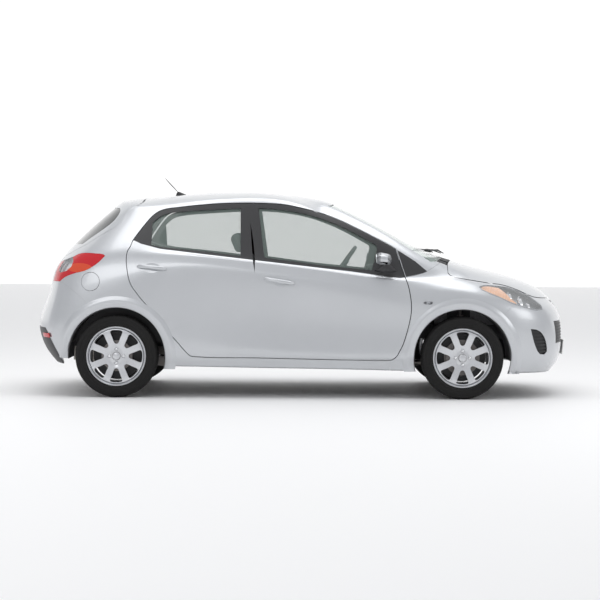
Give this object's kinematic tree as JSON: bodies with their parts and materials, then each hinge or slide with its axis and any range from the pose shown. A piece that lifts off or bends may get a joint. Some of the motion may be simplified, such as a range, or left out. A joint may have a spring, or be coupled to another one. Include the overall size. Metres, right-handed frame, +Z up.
{
  "type": "hatchback car",
  "caption": "Small five-door hatchback car with opening doors, bonnet, tailgate and fuel flap, turning wheels and working steering.",
  "frame": {"origin": "on the road, under the middle of the car", "axes": "+X forward, +Y to the car's left, +Z up"},
  "size_m": [3.925, 1.9028, 1.6079],
  "materials": {
    "paint": "clear-coated metallic",
    "underbody": "black underbody coating",
    "black_trim": "grained moulded plastic",
    "clear_glass": "clear with a green tint",
    "dark_glass": "tinted",
    "headlamp": "clear lens over chromed reflectors",
    "tail_lamp": "red lens",
    "alloy": "silver lacquered",
    "tyre": "matt rubber",
    "cast_steel": "cast and machined",
    "exhaust_steel": "heat-dulled steel",
    "engine": "cast",
    "cabin_plastic": "grained",
    "seat_fabric": "woven"
  },
  "bodies": {
    "body": {"floor_pan": "underbody", "body_sides": "paint", "roof_panel": "paint", "cowl_panel": "black_trim", "front_wings": "paint", "front_bumper": "paint", "rear_bumper": "paint", "windscreen": "clear_glass", "headlamps": "headlamp", "tail_lamps": "tail_lamp", "grille": "black_trim", "wipers": "black_trim", "aerial": "black_trim", "arch_liners": "black_trim", "front_subframe": "underbody", "rear_axle": "underbody", "engine_block": "engine", "exhaust": "exhaust_steel", "dashboard": "cabin_plastic", "seats": "seat_fabric"},
    "front_door_right": {"front_door_right": "paint", "front_door_glass_right": "clear_glass", "door_mirror_right": "paint"},
    "rear_door_right": {"rear_door_right": "paint", "rear_door_glass_right": "clear_glass"},
    "front_door_left": {"front_door_left": "paint", "front_door_glass_left": "clear_glass", "door_mirror_left": "paint"},
    "rear_door_left": {"rear_door_left": "paint", "rear_door_glass_left": "clear_glass"},
    "bonnet": {"bonnet": "paint"},
    "tailgate": {"tailgate": "paint", "tailgate_glass": "dark_glass"},
    "fuel_flap": {"fuel_flap": "paint"},
    "knuckle_right": {"knuckle_right": "cast_steel"},
    "front_wheel_right": {"front_rim_right": "alloy", "front_tyre_right": "tyre"},
    "rear_wheel_right": {"rear_rim_right": "alloy", "rear_tyre_right": "tyre"},
    "knuckle_left": {"knuckle_left": "cast_steel"},
    "front_wheel_left": {"front_rim_left": "alloy", "front_tyre_left": "tyre"},
    "rear_wheel_left": {"rear_rim_left": "alloy", "rear_tyre_left": "tyre"},
    "steering_wheel": {"steering_wheel": "cabin_plastic"}
  },
  "joints": [
    {"name": "front_door_right_hinge", "type": "hinge", "parent": "body", "child": "front_door_right", "pos_m": [0.856, -0.817, 0.64], "axis": [0, 0, 1], "range_deg": [0, 65]},
    {"name": "rear_door_right_hinge", "type": "hinge", "parent": "body", "child": "rear_door_right", "pos_m": [-0.259, -0.815, 0.64], "axis": [0, 0, 1], "range_deg": [0, 65]},
    {"name": "front_door_left_hinge", "type": "hinge", "parent": "body", "child": "front_door_left", "pos_m": [0.856, 0.817, 0.64], "axis": [0, 0, -1], "range_deg": [0, 65]},
    {"name": "rear_door_left_hinge", "type": "hinge", "parent": "body", "child": "rear_door_left", "pos_m": [-0.259, 0.815, 0.64], "axis": [0, 0, -1], "range_deg": [0, 65]},
    {"name": "bonnet_hinge", "type": "hinge", "parent": "body", "child": "bonnet", "pos_m": [1, 0, 0.978], "axis": [0, -1, 0], "range_deg": [0, 50]},
    {"name": "tailgate_hinge", "type": "hinge", "parent": "body", "child": "tailgate", "pos_m": [-1.105, 0, 1.41], "axis": [0, 1, 0], "range_deg": [0, 75]},
    {"name": "fuel_flap_hinge", "type": "hinge", "parent": "body", "child": "fuel_flap", "pos_m": [-1.43, -0.812, 0.832], "axis": [0, 0, 1], "range_deg": [0, 80]},
    {"name": "steer_right", "type": "hinge", "parent": "body", "child": "knuckle_right", "pos_m": [1.162, -0.702, 0.165], "axis": [0, 0.2419, 0.9703], "range_deg": [-32, 32]},
    {"name": "front_wheel_right_spin", "type": "hinge", "parent": "knuckle_right", "child": "front_wheel_right", "pos_m": [1.162, -0.7375, 0.297], "axis": [0, 1, 0], "continuous": true},
    {"name": "rear_wheel_right_spin", "type": "hinge", "parent": "body", "child": "rear_wheel_right", "pos_m": [-1.328, -0.7375, 0.297], "axis": [0, 1, 0], "continuous": true},
    {"name": "steer_left", "type": "hinge", "parent": "body", "child": "knuckle_left", "pos_m": [1.162, 0.702, 0.165], "axis": [0, -0.2419, 0.9703], "range_deg": [-32, 32]},
    {"name": "front_wheel_left_spin", "type": "hinge", "parent": "knuckle_left", "child": "front_wheel_left", "pos_m": [1.162, 0.7375, 0.297], "axis": [0, 1, 0], "continuous": true},
    {"name": "rear_wheel_left_spin", "type": "hinge", "parent": "body", "child": "rear_wheel_left", "pos_m": [-1.328, 0.7375, 0.297], "axis": [0, 1, 0], "continuous": true},
    {"name": "steering_wheel_turn", "type": "hinge", "parent": "body", "child": "steering_wheel", "pos_m": [0.322, 0.35, 0.947], "axis": [-0.8161, 0, 0.5779], "range_deg": [-450, 450]}
  ],
  "couplings": [
    {"joint": "steer_left", "follows": "steer_right", "ratio": 1},
    {"joint": "steering_wheel_turn", "follows": "steer_right", "ratio": 14}
  ]
}
